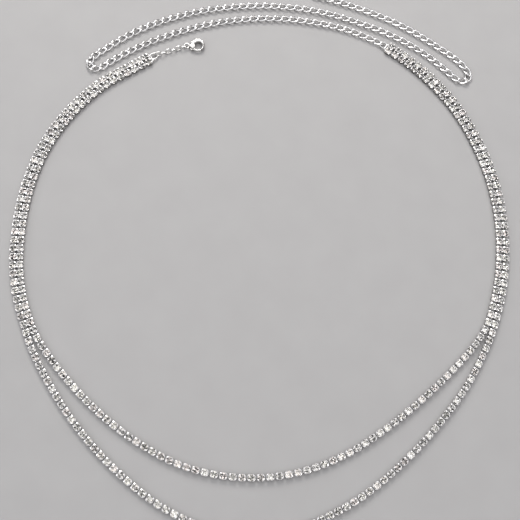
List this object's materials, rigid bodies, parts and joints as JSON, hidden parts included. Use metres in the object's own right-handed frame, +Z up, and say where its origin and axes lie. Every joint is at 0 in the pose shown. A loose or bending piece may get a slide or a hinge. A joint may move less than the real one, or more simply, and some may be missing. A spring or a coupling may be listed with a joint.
{
  "type": "waist chain",
  "caption": "Waist chain of clear stones in metal cups: two double-row flanks part into an upper and a lower swag, with a lobster clasp and a long curb extension chain.",
  "frame": {"origin": "middle of the laid-out chain's outline, on the surface that it lies on", "axes": "+X across the waist loop, from the clasp's flank to the extension chain's flank; +Y from the swags towards the clasp; +Z up from the surface"},
  "size_m": [0.2243, 0.2597, 0.0023],
  "materials": {
    "stone_cups": "clear cut stones in polished silver-coloured cups",
    "plated_metal": "polished silver-coloured plating"
  },
  "bodies": {
    "chain": {"left_double_row": "stone_cups", "right_double_row": "stone_cups", "inner_strand": "stone_cups", "outer_strand": "stone_cups", "left_end_loop": "plated_metal", "right_end_loop": "plated_metal", "clasp_link_1": "plated_metal", "clasp_link_2": "plated_metal", "clasp_link_3": "plated_metal", "clasp_link_4": "plated_metal", "clasp_link_5": "plated_metal", "clasp_link_6": "plated_metal", "clasp_body": "plated_metal", "clasp_rivet": "plated_metal", "extension_chain": "plated_metal"},
    "clasp_lever": {"clasp_lever": "plated_metal"}
  },
  "joints": [
    {"name": "lever_hinge", "type": "hinge", "parent": "chain", "child": "clasp_lever", "pos_m": [-0.03857, 0.09391, 0.0011], "axis": [0, 0, 1], "range_deg": [0, 28], "stiffness_Nm_per_rad": 0.002, "springref_deg": -17.19}
  ]
}
